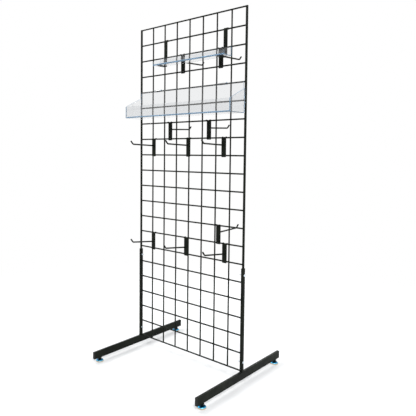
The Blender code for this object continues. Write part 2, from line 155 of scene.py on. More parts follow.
# Clear bin and ledge, measured from the wire that carries each
SHEET_T = 0.003
SHEET_EDGE = 0.0004
CHEEK_T = 0.005
CHEEK_CORNER_R = 0.002
SHEET_BEND_R = 0.004
SHEET_LIP_R = 0.0053
BIN_HALF_W = 0.3045
BIN_REACH = 0.1064
BIN_DROP = 0.1292
BIN_FRONT_H = 0.055
BIN_REAR_H = 0.102
BIN_LIP_X = 2.5 * CELL
BIN_LIP_W = 0.040
LEDGE_REACH = 0.0604
LEDGE_DROP = 0.1178
LEDGE_LIP_H = 0.018
LEDGE_BACK_H = 0.040
STRAP_W = 0.020
STRAP_T = 0.002
STRAP_EDGE = 0.0003
STRAP_REACH = 0.0544
STRAP_BEND_R = 0.005

# Photograph's camera
CAMERA_PLACE = (1.423, -1.707, 0.980)
CAMERA_TURN = math.radians(42.98)
CAMERA_PITCH = math.radians(-3.34)
CAMERA_ROLL = math.radians(0.31)
CAMERA_SENSOR_MM = 36.0
CAMERA_LENS_MM = 41.90
CAMERA_SHIFT = (0.112, -0.0649)

# Studio: the floor fades out between two radii, and a light has its place, aim, width and watts
FLOOR_SOLID_R = 1.1
FLOOR_FADE_R = 2.2
KEY_LIGHT = ((2.3, -1.9, 2.9), (0.0, 0.0, 0.7), 1.6, 95)
FILL_LIGHT = ((-2.3, -0.3, 2.9), (0.0, 0.0, 0.8), 1.8, 45)
BACK_LIGHT = ((-0.6, 2.6, 2.4), (0.0, 0.0, 0.8), 1.8, 45)


# Camera, light and floor


def photograph_camera():
    data = bpy.data.cameras.new("photograph_camera")
    data.sensor_width = CAMERA_SENSOR_MM
    data.lens = CAMERA_LENS_MM
    data.shift_x, data.shift_y = CAMERA_SHIFT
    camera = bpy.data.objects.new("photograph_camera", data)
    bpy.context.scene.collection.objects.link(camera)
    turn = Matrix.Rotation(CAMERA_TURN, 4, "Z")
    tilt = Matrix.Rotation(QUARTER_TURN + CAMERA_PITCH, 4, "X")
    roll = Matrix.Rotation(CAMERA_ROLL, 4, "Z")
    camera.matrix_world = Matrix.Translation(CAMERA_PLACE) @ turn @ tilt @ roll
    bpy.context.scene.camera = camera


def soft_light(name, place, aim, size, watts):
    data = bpy.data.lights.new(name, "AREA")
    data.shape = "DISK"
    data.size = size
    data.energy = watts
    lamp = bpy.data.objects.new(name, data)
    bpy.context.scene.collection.objects.link(lamp)
    lamp.location = place
    lamp.rotation_euler = (Vector(aim) - Vector(place)).to_track_quat("-Z", "Y").to_euler()


def add(tree, kind, inputs=(), **settings):
    """Adds one shader node with its settings; each input is a value, or the socket that feeds it."""
    node = tree.nodes.new("ShaderNode" + kind)
    for name, value in settings.items():
        setattr(node, name, value)
    for name, value in dict(inputs).items():
        if isinstance(value, bpy.types.NodeSocket):
            tree.links.new(value, node.inputs[name])
        else:
            node.inputs[name].default_value = value
    return node


def linear(code):
    """sRGB hex to linear red, green, blue and alpha."""
    parts = [int(code[i:i + 2], 16) / 255 for i in (1, 3, 5)]
    return (*(c / 12.92 if c <= 0.04045 else ((c + 0.055) / 1.055) ** 2.4 for c in parts), 1.0)


def studio():
    """White to the camera, to reflections and through clear sheets, and softer as a light on surfaces."""
    world = bpy.data.worlds.new("studio")
    bpy.context.scene.world = world
    world.use_nodes = True
    tree = world.node_tree
    tree.nodes.clear()
    rays = add(tree, "LightPath").outputs
    seen = add(tree, "Math", {0: rays["Is Camera Ray"], 1: rays["Is Glossy Ray"]}, operation="MAXIMUM")
    seen = add(tree, "Math", {0: seen.outputs[0], 1: rays["Is Transmission Ray"]}, operation="MAXIMUM")
    ambient = add(tree, "Background", {"Color": linear("#f4f7fa"), "Strength": 0.55})
    white = add(tree, "Background", {"Color": linear("#ffffff"), "Strength": 1.0})
    shown = add(tree, "MixShader", {0: seen.outputs[0], 1: ambient.outputs[0], 2: white.outputs[0]})
    add(tree, "OutputWorld", {"Surface": shown.outputs[0]})
    soft_light("key_light", *KEY_LIGHT)
    soft_light("fill_light", *FILL_LIGHT)
    soft_light("back_light", *BACK_LIGHT)


def white_floor():
    """Matt white floor that takes the stand's soft shadow and fades into the white surroundings."""
    deselect()
    bpy.ops.mesh.primitive_circle_add(vertices=64, radius=2 * FLOOR_FADE_R, fill_type="NGON")
    floor = bpy.context.object
    floor.name = "studio_floor"
    material = bpy.data.materials.new("white_floor_paint")
    material.use_nodes = True
    tree = material.node_tree
    tree.nodes.clear()
    place = add(tree, "TexCoord").outputs["Object"]
    distance = add(tree, "VectorMath", {0: place}, operation="LENGTH").outputs["Value"]
    fade = add(tree, "MapRange", {
        "Value": distance, "From Min": FLOOR_SOLID_R, "From Max": FLOOR_FADE_R,
    }, interpolation_type="SMOOTHSTEP").outputs[0]
    paint = add(tree, "BsdfDiffuse", {"Color": linear("#f8f8f8")}).outputs[0]
    clear = add(tree, "BsdfTransparent").outputs[0]
    shown = add(tree, "MixShader", {0: fade, 1: paint, 2: clear})
    add(tree, "OutputMaterial", {"Surface": shown.outputs[0]})
    floor.data.materials.append(material)


# Materials


def principled(name, **constants):
    """A material's node tree, its shader and its Object coordinates; constants go on the shader's sockets."""
    material = bpy.data.materials.new(name)
    material.use_nodes = True
    tree = material.node_tree
    shader = tree.nodes["Principled BSDF"]
    for socket, value in constants.items():
        shader.inputs[socket.replace("_", " ")].default_value = value
    return material, tree, shader, add(tree, "TexCoord").outputs["Object"]


def per_metre(size_mm):
    """Noise scale whose lumps are about this many millimetres across."""
    return 1000 / size_mm


def black_powder_coat():
    """Polyester powder, sprayed dry and baked on steel: deep black with a soft sheen and a fine orange peel.
    Handling leaves faint duller patches, and a thin layer of dust greys it a little."""
    material, tree, shader, place = principled("black_powder_coat_baked", Specular_IOR_Level=0.08)
    dust_film_and_painted_reflection = add(tree, "TexNoise", {"Vector": place, "Scale": per_metre(55), "Detail": 4.0}).outputs["Fac"]
    tint = add(tree, "ValToRGB", {"Fac": dust_film_and_painted_reflection})
    tint.color_ramp.elements[0].position = 0.35
    tint.color_ramp.elements[0].color = linear("#0b0f0b")
    tint.color_ramp.elements[1].position = 0.70
    tint.color_ramp.elements[1].color = linear("#181c15")
    tree.links.new(tint.outputs["Color"], shader.inputs["Base Color"])
    rubs = add(tree, "TexNoise", {"Vector": place, "Scale": per_metre(18), "Detail": 6.0}).outputs["Fac"]
    sheen = add(tree, "MapRange", {
        "Value": rubs, "From Min": 0.3, "From Max": 0.7, "To Min": 0.38, "To Max": 0.52,
    })
    tree.links.new(sheen.outputs["Result"], shader.inputs["Roughness"])
    # Real orange peel is about 1 mm across; it is drawn at 3 mm so that it shows close up.
    peel = add(tree, "TexNoise", {"Vector": place, "Scale": per_metre(3), "Detail": 2.0}).outputs["Fac"]
    bump = add(tree, "Bump", {"Height": peel, "Strength": 0.12, "Distance": 0.0004})
    tree.links.new(bump.outputs["Normal"], shader.inputs["Normal"])
    return material


def black_cap_plastic():
    """Low-density polyethylene, moulded: a waxy satin black with a faint grain from the mould."""
    material, tree, shader, place = principled(
        "black_polyethylene_moulded", IOR=1.51, Specular_IOR_Level=0.25
    )
    bloom = add(tree, "TexNoise", {"Vector": place, "Scale": per_metre(9), "Detail": 3.0}).outputs["Fac"]
    tint = add(tree, "ValToRGB", {"Fac": bloom})
    tint.color_ramp.elements[0].color = linear("#0d0f0d")
    tint.color_ramp.elements[1].color = linear("#181a17")
    tree.links.new(tint.outputs["Color"], shader.inputs["Base Color"])
    satin = add(tree, "MapRange", {"Value": bloom, "To Min": 0.42, "To Max": 0.6})
    tree.links.new(satin.outputs["Result"], shader.inputs["Roughness"])
    grain = add(tree, "TexNoise", {"Vector": place, "Scale": per_metre(0.8), "Detail": 2.0}).outputs["Fac"]
    bump = add(tree, "Bump", {"Height": grain, "Strength": 0.15, "Distance": 0.0001})
    tree.links.new(bump.outputs["Normal"], shader.inputs["Normal"])
    return material


def chrome_with_painted_reflection():
    """Steel pressing, chrome plated: a soft mirror with painted reflection bands by height, almost black at
    the collar, where the dark tube above would be mirrored, and running through deep blue to cyan at the rim,
    where the bright surroundings would be."""
    material, tree, shader, place = principled("chrome_painted_reflection_bands", Metallic=1.0)
    height = add(tree, "SeparateXYZ", {"Vector": place}).outputs["Z"]
    # Painted reflection: the colour follows height alone, near black at the collar and light cyan at the rim,
    # for the dark tube and bright surroundings mirrored in the dome.
    dust_film_and_painted_reflection = add(tree, "MapRange", {"Value": height, "From Max": GLIDE_H})
    smears = add(tree, "TexNoise", {"Vector": place, "Scale": per_metre(7), "Detail": 5.0}).outputs["Fac"]
    drift = add(tree, "MapRange", {"Value": smears, "To Min": -0.06, "To Max": 0.06})
    drifted = add(tree, "Math", {0: dust_film_and_painted_reflection.outputs["Result"], 1: drift.outputs["Result"]}, operation="ADD")
    tint = add(tree, "ValToRGB", {"Fac": drifted.outputs[0]})
    ramp = tint.color_ramp.elements
    ramp[0].position = 0.40
    ramp[0].color = linear("#9bdcf2")
    ramp[1].position = 0.85
    ramp[1].color = linear("#03222c")
    for position, code in ((0.52, "#4fb2de"), (0.66, "#147fb0"), (0.76, "#034a6c")):
        ramp.new(position).color = linear(code)
    tree.links.new(tint.outputs["Color"], shader.inputs["Base Color"])
    polish = add(tree, "MapRange", {"Value": smears, "To Min": 0.26, "To Max": 0.42})
    tree.links.new(polish.outputs["Result"], shader.inputs["Roughness"])
    return material


def pale_nylon():
    """Nylon base moulded into the glide's rim: waxy beige, a little scuffed where it stands on the floor."""
    material, tree, shader, place = principled("beige_nylon_moulded", IOR=1.53)
    scuffs = add(tree, "TexNoise", {"Vector": place, "Scale": per_metre(3), "Detail": 4.0}).outputs["Fac"]
    tint = add(tree, "ValToRGB", {"Fac": scuffs})
    tint.color_ramp.elements[0].color = linear("#ab9a7f")
    tint.color_ramp.elements[1].color = linear("#d0bc9d")
    tree.links.new(tint.outputs["Color"], shader.inputs["Base Color"])
    satin = add(tree, "MapRange", {"Value": scuffs, "To Min": 0.38, "To Max": 0.55})
    tree.links.new(satin.outputs["Result"], shader.inputs["Roughness"])
    return material


def bright_zinc():
    """Steel, barrel plated with zinc and blue passivated: a pale cool metal, softly mottled."""
    material, tree, shader, place = principled("blue_zinc_plated", Metallic=1.0)
    mottle = add(tree, "TexVoronoi", {"Vector": place, "Scale": per_metre(1.6)}).outputs["Distance"]
    tint = add(tree, "ValToRGB", {"Fac": mottle})
    tint.color_ramp.elements[0].color = linear("#b4bfc8")
    tint.color_ramp.elements[1].color = linear("#dbe3e8")
    tree.links.new(tint.outputs["Color"], shader.inputs["Base Color"])
    satin = add(tree, "MapRange", {"Value": mottle, "To Min": 0.22, "To Max": 0.40})
    tree.links.new(satin.outputs["Result"], shader.inputs["Roughness"])
    return material


def clear_acrylic():
    """Cast acrylic sheet, bent hot: water clear with a trace of grey, and hairline scuffs from use."""
    material, tree, shader, place = principled(
        "clear_acrylic_sheet", IOR=1.49, Transmission_Weight=1.0, Base_Color=linear("#eeeff0")
    )
    stretched = add(tree, "Mapping", {"Vector": place, "Scale": (1.0, 1.0, 6.0)}).outputs[0]
    noise = add(tree, "TexNoise", {"Vector": stretched, "Scale": per_metre(24), "Detail": 8.0})
    scuffs = noise.outputs["Fac"]
    haze = add(tree, "MapRange", {"Value": scuffs, "From Min": 0.45, "From Max": 0.8, "To Max": 0.05})
    tree.links.new(haze.outputs["Result"], shader.inputs["Roughness"])
    return material


def sawn_acrylic_edge():
    """Sawn edge of the same sheet: light gathers there, so it shows as a frosted blue-grey line, the
    blue-grey being painted light.
    """
    material, tree, shader, place = principled(
        "acrylic_sawn_edge", IOR=1.49, Transmission_Weight=0.5, Base_Color=linear("#8cb1cf")
    )
    marks = add(tree, "TexNoise", {"Vector": place, "Scale": per_metre(1.5), "Detail": 3.0}).outputs["Fac"]
    frost = add(tree, "MapRange", {"Value": marks, "To Min": 0.25, "To Max": 0.5})
    tree.links.new(frost.outputs["Result"], shader.inputs["Roughness"])
    return material


# Modelling by hand


def deselect():
    """Leaves edit mode and deselects every object."""
    if bpy.context.object and bpy.context.object.mode != "OBJECT":
        bpy.ops.object.mode_set(mode="OBJECT")
    bpy.ops.object.select_all(action="DESELECT")


def open_mesh(piece):
    """Enters edit mode on one piece, with everything in it selected."""
    deselect()
    piece.select_set(True)
    bpy.context.view_layer.objects.active = piece
    bpy.ops.object.mode_set(mode="EDIT")
    bpy.ops.mesh.select_mode(type="VERT")
    bpy.ops.mesh.select_all(action="SELECT")


def close_mesh():
    bpy.ops.object.mode_set(mode="OBJECT")
    return bpy.context.object


def pick(kind, wanted):
    """In edit mode, selects by place: wanted takes a vertex's point, an edge's two points,
    or a face's middle and normal."""
    bpy.ops.mesh.select_mode(type=kind)
    bpy.ops.mesh.select_all(action="DESELECT")
    mesh = bmesh.from_edit_mesh(bpy.context.object.data)
    if kind == "VERT":
        for vertex in mesh.verts:
            vertex.select = wanted(vertex.co)
    if kind == "EDGE":
        for edge in mesh.edges:
            edge.select = wanted(edge.verts[0].co, edge.verts[1].co)
    if kind == "FACE":
        for face in mesh.faces:
            face.select = wanted(face.calc_center_median(), face.normal)
    mesh.select_flush_mode()
    bmesh.update_edit_mesh(bpy.context.object.data)


def clean_mesh():
    """In edit mode, merges doubled points and turns every face outwards."""
    bpy.ops.mesh.select_all(action="SELECT")
    bpy.ops.mesh.remove_doubles(threshold=MERGE_DISTANCE)
    bpy.ops.mesh.normals_make_consistent(inside=False)


def box(low, high):
    """A cube at its size and place, open in edit mode."""
    deselect()
    low, high = Vector(low), Vector(high)
    bpy.ops.mesh.primitive_cube_add(size=1, location=(low + high) / 2, scale=high - low)
    bpy.ops.object.transform_apply(location=True, rotation=True, scale=True)
    piece = bpy.context.object
    open_mesh(piece)
    return piece


def bar(radius, length, sides, middle, along):
    """A round bar at its size and place, along X, Y or Z, open in edit mode."""
    deselect()
    turn = {"X": (0, QUARTER_TURN, 0), "Y": (QUARTER_TURN, 0, 0), "Z": (0, 0, 0)}[along]
    bpy.ops.mesh.primitive_cylinder_add(
        vertices=sides, radius=radius, depth=length, location=middle, rotation=turn
    )
    bpy.ops.object.transform_apply(location=True, rotation=True, scale=True)
    piece = bpy.context.object
    open_mesh(piece)
    return piece


def line(points):
    """A line of joined points, open in edit mode: one vertex, extruded from point to point."""
    deselect()
    bpy.ops.mesh.primitive_plane_add(size=GAP, location=points[0])
    bpy.ops.object.transform_apply(location=True, rotation=True, scale=True)
    piece = bpy.context.object
    open_mesh(piece)
    bpy.ops.mesh.merge(type="CENTER")
    for before, after in zip(points, points[1:]):
        step = Vector(after) - Vector(before)
        bpy.ops.mesh.extrude_vertices_move(TRANSFORM_OT_translate={"value": step})
    return piece


def swept(points, *steps):
    """A strip: a line extruded through the given steps, open in edit mode."""
    piece = line(points)
    bpy.ops.mesh.select_mode(type="EDGE")
    bpy.ops.mesh.select_all(action="SELECT")
    for step in steps:
        bpy.ops.mesh.extrude_edges_move(TRANSFORM_OT_translate={"value": step})
    bpy.ops.mesh.select_all(action="SELECT")
    bpy.ops.mesh.normals_make_consistent(inside=False)
    return piece


def turned(profile, steps):
    """A line of (radius, height) points spun round the Z axis into a closed, outward-facing shape."""
    piece = line([(radius, 0, height) for radius, height in profile])
    bpy.ops.mesh.select_all(action="SELECT")
    bpy.ops.mesh.spin(steps=steps, angle=FULL_TURN, center=(0, 0, 0), axis=(0, 0, 1))
    clean_mesh()
    return piece


def shaped(piece, kind, **settings):
    """Adds one modifier to a piece and applies it."""
    deselect()
    piece.select_set(True)
    bpy.context.view_layer.objects.active = piece
    modifier = piece.modifiers.new(kind.lower(), kind)
    for name, value in settings.items():
        setattr(modifier, name, value)
    bpy.ops.object.modifier_apply(modifier=modifier.name)
    return piece


def cut(piece, *cutters):
    """Cuts other meshes out of a piece and deletes them."""
    close_mesh()
    for cutter in cutters:
        shaped(piece, "BOOLEAN", object=cutter, operation="DIFFERENCE", solver="EXACT")
        bpy.data.objects.remove(cutter)
    return piece


def soften(piece, width, segments=2, angle=50):
    """A small rounded edge wherever two faces meet sharply, as on every real sheet and bar."""
    return shaped(
        piece, "BEVEL", width=width, segments=segments, limit_method="ANGLE", angle_limit=math.radians(angle),
        harden_normals=False,
    )


def thickened(piece, thickness, *materials):
    """Gives an open sheet its thickness, half to each side; a second material goes on its cut edges."""
    close_mesh()
    for material in materials:
        piece.data.materials.append(material)
    rim = max(len(materials) - 1, 0)
    return shaped(
        piece, "SOLIDIFY", thickness=thickness, offset=0, use_even_offset=True, material_offset_rim=rim
    )


def joined(name, *parts):
    deselect()
    for part in parts:
        part.select_set(True)
    bpy.context.view_layer.objects.active = parts[0]
    bpy.ops.object.join()
    parts[0].name = name
    return parts[0]


def copied(source, matrix):
    """A copy with its own mesh, put in its place."""
    deselect()
    source.select_set(True)
    bpy.context.view_layer.objects.active = source
    bpy.ops.object.duplicate(linked=False)
    copy = bpy.context.object
    copy.matrix_world = matrix
    bpy.ops.object.transform_apply(location=True, rotation=True, scale=True)
    return copy


def hand_over(piece, name, materials, body, slot, *nodes, smooth=38):
    """Names a finished piece, gives it its finish, and sets it on its body in place of the plain solids."""
    deselect()
    piece.select_set(True)
    bpy.context.view_layer.objects.active = piece
    bpy.ops.object.transform_apply(location=True, rotation=True, scale=True)
    bpy.ops.object.shade_smooth_by_angle(angle=math.radians(smooth))
    shaped(piece, "WEIGHTED_NORMAL", keep_sharp=True, weight=100)
    piece.name = name
    piece.data.name = name
    if not piece.data.materials:
        for material in materials:
            piece.data.materials.append(material)
    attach(piece, body)
    if nodes:
        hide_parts(*nodes)


def arc(centre, radius, start, end, steps):
    """(y, z) points on an arc, with angles measured from +Y towards +Z."""
    turns = [start + (end - start) * i / steps for i in range(steps + 1)]
    return [(centre[0] + radius * math.cos(a), centre[1] + radius * math.sin(a)) for a in turns]


def bend(corner, radius, first, second, steps=6):
    """A rounded right-angled corner of a folded line, from travel along first to travel along second."""
    centre = [c - radius * a + radius * b for c, a, b in zip(corner, first, second)]
    points = []
    for i in range(steps + 1):
        turn = QUARTER_TURN * i / steps
        along, across = radius * math.sin(turn), radius * math.cos(turn)
        points.append(tuple(c + along * a - across * b for c, a, b in zip(centre, first, second)))
    return points


def upright_line(x, points):
    """Points (y, z) at one x."""
    return [(x, y, z) for y, z in points]


def joint_place(joint):
    """Takes a piece that was modelled about its joint to where that joint is on the stand."""
    return Matrix.Translation(JOINTS[joint]["pos_m"])


# Welded grid


def round_ends(radius, along):
    """In edit mode, rounds the two ends of a bar that lies along X or Z."""
    axis = "XYZ".index(along)
    pick("FACE", lambda middle, normal: abs(normal[axis]) > SQUARE_ON)
    bpy.ops.mesh.bevel(offset=radius, segments=3, profile=0.5, affect="EDGES")


def weld_nugget():
    """The squeezed lump where two wires were pressed together and welded, modelled at the lowest crossing."""
    deselect()
    first_column_x = CELL - HALF_WIDTH
    place = (first_column_x, (ROW_WIRE_Y + COLUMN_WIRE_Y) / 2, BOTTOM_WIRE_Z)
    bpy.ops.mesh.primitive_uv_sphere_add(
        segments=8, ring_count=5, radius=0.5, location=place, scale=WELD_NUGGET
    )
    bpy.ops.object.transform_apply(location=True, rotation=True, scale=True)
    open_mesh(bpy.context.object)
    pick("VERT", lambda point: point.y > COLUMN_WIRE_Y)
    bpy.ops.transform.resize(value=NUGGET_BACK, center_override=place)
    return close_mesh()


def welded_grid():
    row = bar(WIRE_R, 2 * HALF_WIDTH, 16, (0, ROW_WIRE_Y, BOTTOM_WIRE_Z), "X")
    round_ends(WIRE_END_R, "X")
    close_mesh()
    spaced = {"use_relative_offset": False, "use_constant_offset": True}
    up_one = {**spaced, "constant_offset_displace": (0, 0, CELL)}
    along_one = {**spaced, "constant_offset_displace": (CELL, 0, 0)}
    shaped(row, "ARRAY", count=ROWS + 1, **up_one)
    middle_z = (BOTTOM_WIRE_Z + TOP_WIRE_Z) / 2
    column = bar(WIRE_R, TOP_WIRE_Z - BOTTOM_WIRE_Z, 16, (CELL - HALF_WIDTH, COLUMN_WIRE_Y, middle_z), "Z")
    round_ends(WIRE_END_R, "Z")
    close_mesh()
    shaped(column, "ARRAY", count=COLUMNS - 1, **along_one)
    rod_length = TOP_WIRE_Z - BOTTOM_WIRE_Z + 2 * WIRE_R
    rod = bar(SIDE_ROD_R, rod_length, 28, (-HALF_WIDTH, 0, middle_z), "Z")
    round_ends(SIDE_ROD_END_R, "Z")
    close_mesh()
    shaped(rod, "ARRAY", count=2, **spaced, constant_offset_displace=(2 * HALF_WIDTH, 0, 0))
    nugget = weld_nugget()
    shaped(nugget, "ARRAY", count=COLUMNS - 1, **along_one)
    shaped(nugget, "ARRAY", count=ROWS + 1, **up_one)
    return joined("welded_wire_grid", row, column, rod, nugget)


# Legs


def floor_tube(node):
    """Rectangular tube with rounded corners, open ends and a hole in its floor at each foot."""
    low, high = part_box(node)
    tube = box(low, high)
    pick("EDGE", lambda first, second: abs(first.y - second.y) > CELL)
    bpy.ops.mesh.bevel(offset=TUBE_CORNER_R, segments=4, profile=0.5, affect="EDGES")
    pick("FACE", lambda middle, normal: abs(normal.y) > SQUARE_ON)
    bpy.ops.mesh.delete(type="FACE")
    close_mesh()
    shaped(tube, "SOLIDIFY", thickness=TUBE_WALL, offset=-1, use_even_offset=True)
    side = node.split("_")[0]
    holes = []
    for end in ENDS:
        x, y, _ = JOINTS[f"{side}_{end}_foot_swivel"]["pos_m"]
        holes.append(bar(STEM_R + GAP, HOLE_CUTTER, 24, (x, y, low.z), "Z"))
    return cut(tube, *holes)


def tube_plug(node, end):
    """Moulded cap: a flange with a rounded face, and a tapered plug that fills the tube's end."""
    low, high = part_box(node)
    face_y = low.y if end < 0 else high.y
    seat_y = face_y - end * CAP_FLANGE
    box((low.x, min(face_y, seat_y), low.z), (high.x, max(face_y, seat_y), high.z))
    pick("FACE", lambda middle, normal: normal.y * end < -SQUARE_ON)
    bpy.ops.mesh.inset(thickness=TUBE_WALL + GAP)
    bpy.ops.mesh.extrude_region_move(TRANSFORM_OT_translate={"value": (0, -end * CAP_PLUG, 0)})
    bpy.ops.mesh.bevel(offset=CAP_PLUG_EDGE, segments=2, affect="EDGES")
    pick("EDGE", lambda first, second: abs(first.y - face_y) < GAP and abs(second.y - face_y) < GAP)
    bpy.ops.mesh.bevel(offset=CAP_EDGE_R, segments=5, profile=0.5, affect="EDGES")
    return close_mesh()


def channel_post(node, side):
    """Folded channel, open towards the grid, with its two bolt holes."""
    low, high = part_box(node)
    half_wall = CHANNEL_WALL / 2
    web_x = high.x - half_wall if side > 0 else low.x + half_wall
    mouth_x = low.x if side > 0 else high.x
    flange_y = high.y - half_wall
    folds = bend((web_x, -flange_y), CHANNEL_FOLD_R, (side, 0), (0, 1), 4)
    folds += bend((web_x, flange_y), CHANNEL_FOLD_R, (0, 1), (-side, 0), 4)
    outline = [(mouth_x, -flange_y), *folds, (mouth_x, flange_y)]
    post = swept([(x, y, low.z) for x, y in outline], (0, 0, high.z - low.z))
    thickened(post, CHANNEL_WALL)
    soften(post, CHANNEL_EDGE, segments=1, angle=60)
    word = node.split("_")[0]
    holes = []
    for place in ("lower", "upper"):
        bolt_low, bolt_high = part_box(f"{word}_{place}_clamp_bolt")
        middle = (web_x, 0, (bolt_low.z + bolt_high.z) / 2)
        holes.append(bar(BOLT_R + GAP, HOLE_CUTTER, 20, middle, "X"))
    return cut(post, *holes)


def weld_bead(node, side):
    """Bead of weld round the foot of a channel, where it stands on the floor tube."""
    low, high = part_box(node)
    web_x = high.x if side > 0 else low.x
    mouth_x = low.x if side > 0 else high.x
    path = [(mouth_x, low.y)]
    path += bend((web_x, low.y), WELD_CORNER_R, (side, 0), (0, 1), 4)
    path += bend((web_x, high.y), WELD_CORNER_R, (0, 1), (-side, 0), 4)
    path.append((mouth_x, high.y))
    bead = line([(x, y, low.z) for x, y in path])
    bpy.ops.mesh.select_all(action="SELECT")
    bpy.ops.mesh.subdivide(number_cuts=3)
    close_mesh()
    bpy.ops.object.convert(target="CURVE")
    bead.data.bevel_depth = WELD_BEAD_R
    bead.data.bevel_resolution = 3
    bead.data.use_fill_caps = True
    bpy.ops.object.convert(target="MESH")
    ripple = bpy.data.textures.new("weld_ripple", "CLOUDS")
    ripple.noise_scale = WELD_RIPPLE
    bead = bpy.context.object
    open_mesh(bead)
    clean_mesh()
    close_mesh()
    return shaped(
        bead, "DISPLACE", texture=ripple, strength=WELD_RIPPLE_H, mid_level=0.6, texture_coords="LOCAL"
    )


def button_bolt():
    """Button-head socket bolt along +X: its seat at X = 0, the head outside and the shank inside."""
    bolt = bar(BOLT_HEAD_R, BOLT_HEAD_H, 32, (BOLT_HEAD_H / 2, 0, 0), "X")
    pick("FACE", lambda middle, normal: normal.x > SQUARE_ON)
    bpy.ops.mesh.bevel(offset=BOLT_HEAD_ROUND, segments=6, profile=0.5, affect="EDGES")
    pick("FACE", lambda middle, normal: normal.x < -SQUARE_ON)
    bpy.ops.mesh.inset(thickness=BOLT_HEAD_R - BOLT_R)
    bpy.ops.mesh.extrude_region_move(TRANSFORM_OT_translate={"value": (-BOLT_LENGTH, 0, 0)})
    bpy.ops.mesh.bevel(offset=BOLT_CHAMFER, segments=1, affect="EDGES")
    socket = bar(BOLT_SOCKET_R, 2 * BOLT_SOCKET_DEPTH, 6, (BOLT_HEAD_H, 0, 0), "X")
    return cut(bolt, socket)


def hexagon_nut():
    """Hexagon nut along X with chamfered ends and a plain bore, centred on X = 0."""
    nut = bar(NUT_R, NUT_H - 2 * NUT_CHAMFER, 6, (0, 0, 0), "X")
    bpy.ops.transform.rotate(value=QUARTER_TURN, orient_axis="X", center_override=(0, 0, 0))
    for end in (-1, 1):
        pick("FACE", lambda middle, normal: normal.x * end > SQUARE_ON)
        bpy.ops.mesh.extrude_region_move(TRANSFORM_OT_translate={"value": (end * NUT_CHAMFER, 0, 0)})
        bpy.ops.transform.resize(value=(1, NUT_END_SCALE, NUT_END_SCALE), center_override=(0, 0, 0))
    return cut(nut, bar(BOLT_R + GAP, 3 * NUT_H, 24, (0, 0, 0), "X"))


# Levelling feet


def glide():
    """Pressed dome over a moulded base: a collar that grips the stem, a round shoulder and an eased foot."""
    bore = STEM_R + GAP
    seat = STEM_FOOT_Z - GAP
    shell_r = GLIDE_R - SHELL_STEP
    dome_w = shell_r - COLLAR_FOOT_R
    dome_h = GLIDE_H - COLLAR_FOOT_H - BASE_RIM_H
    quarter = arc((0, 0), 1, QUARTER_TURN, 0, 10)
    dome = [(COLLAR_FOOT_R + dome_w * out, BASE_RIM_H + dome_h * up) for out, up in quarter]
    profile = [(bore, seat), (bore, GLIDE_H), (COLLAR_R - COLLAR_EDGE, GLIDE_H)]
    profile += [(COLLAR_R, GLIDE_H - GLIDE_EDGE), (COLLAR_R, GLIDE_H - COLLAR_H), *dome]
    profile += [(GLIDE_R, BASE_RIM_H - GLIDE_EDGE), (GLIDE_R, GLIDE_EDGE)]
    profile += [(GLIDE_R - GLIDE_EDGE, 0), (0, 0), (0, seat)]
    piece = turned(profile[::-1] + [profile[-1]], 40)
    close_mesh()
    for face in piece.data.polygons:
        face.material_index = int(face.center.z < BASE_RIM_H - GAP / 2)
    return piece


def levelling_screw():
    """Stem whose thread is drawn as rings, one to each turn."""
    turns = int((STEM_TOP_Z - STEM_FOOT_Z - 2 * THREAD_INSET) / THREAD_PITCH)
    profile = [(0, STEM_FOOT_Z), (STEM_R - THREAD_DEPTH, STEM_FOOT_Z)]
    for turn in range(turns):
        z = STEM_FOOT_Z + THREAD_INSET + turn * THREAD_PITCH
        profile.append((STEM_R - THREAD_DEPTH, z))
        profile += [(STEM_R, z + part * THREAD_PITCH) for part in THREAD_CREST]
    profile += [(STEM_R - THREAD_DEPTH, STEM_TOP_Z), (0, STEM_TOP_Z)]
    turned(profile, 24)
    return close_mesh()


def threaded_boss():
    """Turned boss with eased edges and a flared weld where it meets the tube."""
    low = GLIDE_H + GAP
    high = low + BOSS_H
    bore = STEM_R + GAP
    profile = [(bore, low), (BOSS_R - BOSS_EDGE, low), (BOSS_R, low + BOSS_EDGE)]
    profile += [(BOSS_R + flare, high - below) for flare, below in BOSS_WELD]
    profile += [(bore, high), (bore, low)]
    turned(profile, 32)
    return close_mesh()


# Hooks, modelled about the wire that carries them, with the prong towards -Y


def hanging_lip(radius):
    """Wraps a wire from its far side, over the top, to its near side."""
    return arc((0, 0), radius, -LIP_WRAP, math.pi, 14)


def hang_plate():
    """Stamped plate: two tabs over the wire above, rounded lower corners, the wire below behind its foot."""
    radius = WIRE_R + GAP + PLATE_T / 2
    tab = (PLATE_W - NOTCH_W) / 2
    fold = hanging_lip(radius)
    foot_z = -CELL - PLATE_BELOW_WIRE
    points = upright_line(-PLATE_W / 2, [*fold, (-radius, foot_z)])
    plate = swept(points, (tab, 0, 0), (NOTCH_W, 0, 0), (tab, 0, 0))
    pick("FACE", lambda middle, normal: abs(middle.x) < NOTCH_W / 2 and middle.y > PLATE_T - radius)
    bpy.ops.mesh.delete(type="FACE")
    pick("VERT", lambda point: abs(point.x) > PLATE_W / 2 - GAP and abs(point.z - foot_z) < GAP)
    bpy.ops.mesh.bevel(offset=PLATE_CORNER_R, segments=5, affect="VERTICES")
    thickened(plate, PLATE_T)
    return soften(plate, PLATE_EDGE)


